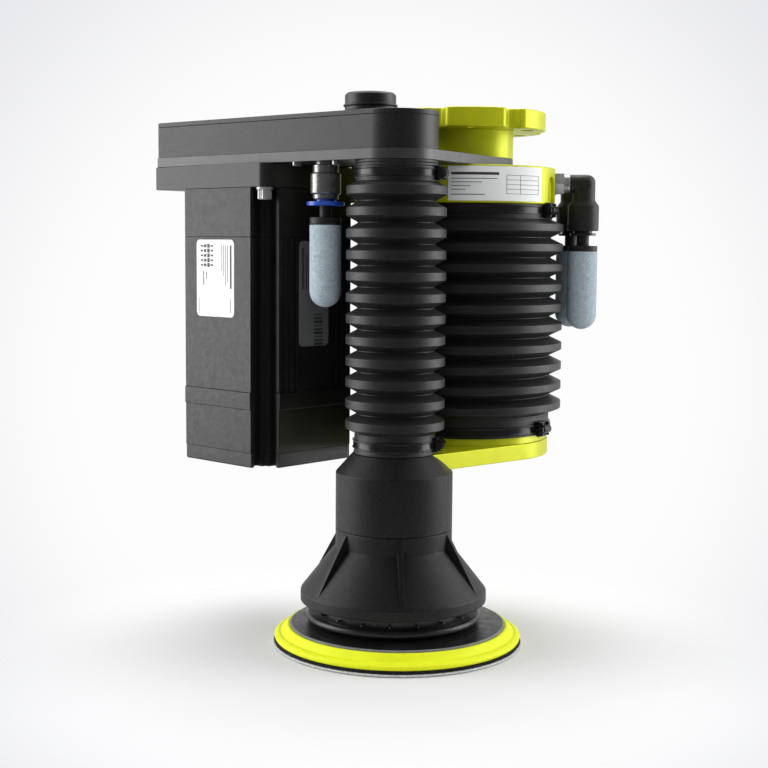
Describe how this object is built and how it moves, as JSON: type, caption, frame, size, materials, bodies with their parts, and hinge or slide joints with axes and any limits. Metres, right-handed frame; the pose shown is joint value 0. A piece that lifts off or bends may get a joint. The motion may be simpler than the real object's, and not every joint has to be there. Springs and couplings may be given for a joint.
{
  "type": "robotic orbital sander",
  "caption": "Compliant orbital sanding head for a robot arm, with belt-driven spindle, round lime backing pad, pneumatic actuator bellows and side motor.",
  "frame": {"origin": "centre of the robot flange's top face, on the actuator axis", "axes": "+Z out of the flange towards the robot, +X along the belt line away from the motor, +Y from the spindle side to the back"},
  "size_m": [0.2552, 0.2393, 0.3267],
  "materials": {
    "lime_aluminium": "satin lime anodised",
    "cover_plastic": "grainy matte, dark grey",
    "plate_black": "black anodised",
    "motor_black": "satin black paint",
    "bellows_rubber": "matte moulded rubber",
    "brake_rubber": "satin rubber",
    "belt_rubber": "matte",
    "clamp_steel": "black coated steel",
    "screw_steel": "turned steel",
    "bearing_steel": "ground steel",
    "bare_aluminium": "turned aluminium",
    "bush_bronze": "plain bearing bronze",
    "fitting_black": "moulded black",
    "release_blue": "blue moulded",
    "release_black": "black moulded",
    "silencer_blue": "porous speckled grey-blue",
    "label_silver": "bare pale plate",
    "backing_black": "satin black",
    "foam_lime": "soft lime foam",
    "hook_black": "hook fabric",
    "disc_grey": "light abrasive backing"
  },
  "bodies": {
    "head": {"robot_flange": "lime_aluminium", "belt_plate": "plate_black", "belt_cover": "cover_plastic", "cover_lid": "cover_plastic", "port_cap": "cover_plastic", "plate_screws": "screw_steel", "drive_belt": "belt_rubber", "sleeve_bearings": "bearing_steel", "bearing_housing": "bare_aluminium", "motor_adapter": "plate_black", "motor_front_shield": "motor_black", "motor_stator_housing": "motor_black", "motor_rear_housing": "motor_black", "motor_end_cap": "motor_black", "motor_screws": "screw_steel", "actuator_body": "lime_aluminium", "name_plate": "label_silver", "guide_tube": "bare_aluminium", "guide_bush": "bush_bronze", "small_bellows": "bellows_rubber", "large_bellows": "bellows_rubber", "small_upper_clamp": "clamp_steel", "large_upper_clamp": "clamp_steel", "straight_fitting_body": "screw_steel", "straight_fitting_nut": "screw_steel", "straight_silencer": "silencer_blue", "front_port_nut": "screw_steel", "rear_port_nut": "screw_steel"},
    "motor_rotor": {"motor_shaft": "bearing_steel", "drive_pulley": "bare_aluminium"},
    "sleeve": {"spline_sleeve": "bearing_steel", "driven_pulley": "bare_aluminium"},
    "carriage": {"arm": "lime_aluminium", "arm_screws": "screw_steel", "base_ring": "lime_aluminium", "guide_column": "bearing_steel", "anti_turn_rod": "bearing_steel", "small_lower_clamp": "clamp_steel", "large_lower_clamp": "clamp_steel", "spindle_housing": "bare_aluminium", "spindle_bearings": "bearing_steel", "upper_shroud": "cover_plastic", "shroud_skirt": "cover_plastic", "brake_ring": "brake_rubber"},
    "spindle": {"spindle_shaft": "bearing_steel", "eccentric_hub": "bare_aluminium", "counterweight": "screw_steel", "pad_bearings": "bearing_steel"},
    "pad": {"pad_stub": "bearing_steel", "backing_disc": "backing_black", "pad_foam": "foam_lime", "hook_layer": "hook_black", "sanding_disc": "disc_grey"},
    "straight_release": {"straight_release_ring": "release_blue"},
    "front_fitting": {"front_elbow": "fitting_black", "front_silencer": "silencer_blue"},
    "rear_fitting": {"rear_elbow": "fitting_black", "rear_silencer": "silencer_blue"},
    "front_release": {"front_release_ring": "release_black"},
    "rear_release": {"rear_release_ring": "release_black"}
  },
  "joints": [
    {"name": "compliance_stroke", "type": "slide", "parent": "head", "child": "carriage", "axis": [0, 0, 1], "range_m": [0, 0.0355], "deforming": ["small_bellows", "large_bellows"]},
    {"name": "spindle_spin", "type": "hinge", "parent": "carriage", "child": "spindle", "pos_m": [0.0207, -0.0905, -0.2], "axis": [0, 0, 1], "continuous": true},
    {"name": "pad_spin", "type": "hinge", "parent": "spindle", "child": "pad", "pos_m": [0.02246, -0.08874, -0.3], "axis": [0, 0, 1], "continuous": true},
    {"name": "sleeve_spin", "type": "hinge", "parent": "head", "child": "sleeve", "pos_m": [0.0207, -0.0905, -0.02], "axis": [0, 0, 1], "continuous": true},
    {"name": "motor_spin", "type": "hinge", "parent": "head", "child": "motor_rotor", "pos_m": [-0.09685, -0.08425, -0.02], "axis": [0, 0, 1], "continuous": true},
    {"name": "front_elbow_swivel", "type": "hinge", "parent": "head", "child": "front_fitting", "pos_m": [0.05607, 0.04874, -0.044], "axis": [-0.7547, -0.6561, 0], "range_deg": [0, 75]},
    {"name": "rear_elbow_swivel", "type": "hinge", "parent": "head", "child": "rear_fitting", "pos_m": [0.03488, 0.0656, -0.044], "axis": [0.4695, 0.8829, 0], "range_deg": [0, 75]},
    {"name": "straight_release_press", "type": "slide", "parent": "head", "child": "straight_release", "axis": [0, 0, 1], "range_m": [0, 0.0012], "stiffness_N_per_m": 600, "springref_m": -0.001},
    {"name": "front_release_press", "type": "slide", "parent": "front_fitting", "child": "front_release", "axis": [0, 0, 1], "range_m": [0, 0.0012], "stiffness_N_per_m": 600, "springref_m": -0.001},
    {"name": "rear_release_press", "type": "slide", "parent": "rear_fitting", "child": "rear_release", "axis": [0, 0, 1], "range_m": [0, 0.0012], "stiffness_N_per_m": 600, "springref_m": -0.001}
  ],
  "couplings": [
    {"joint": "sleeve_spin", "follows": "spindle_spin", "ratio": 1},
    {"joint": "motor_spin", "follows": "spindle_spin", "ratio": 0.68182}
  ]
}
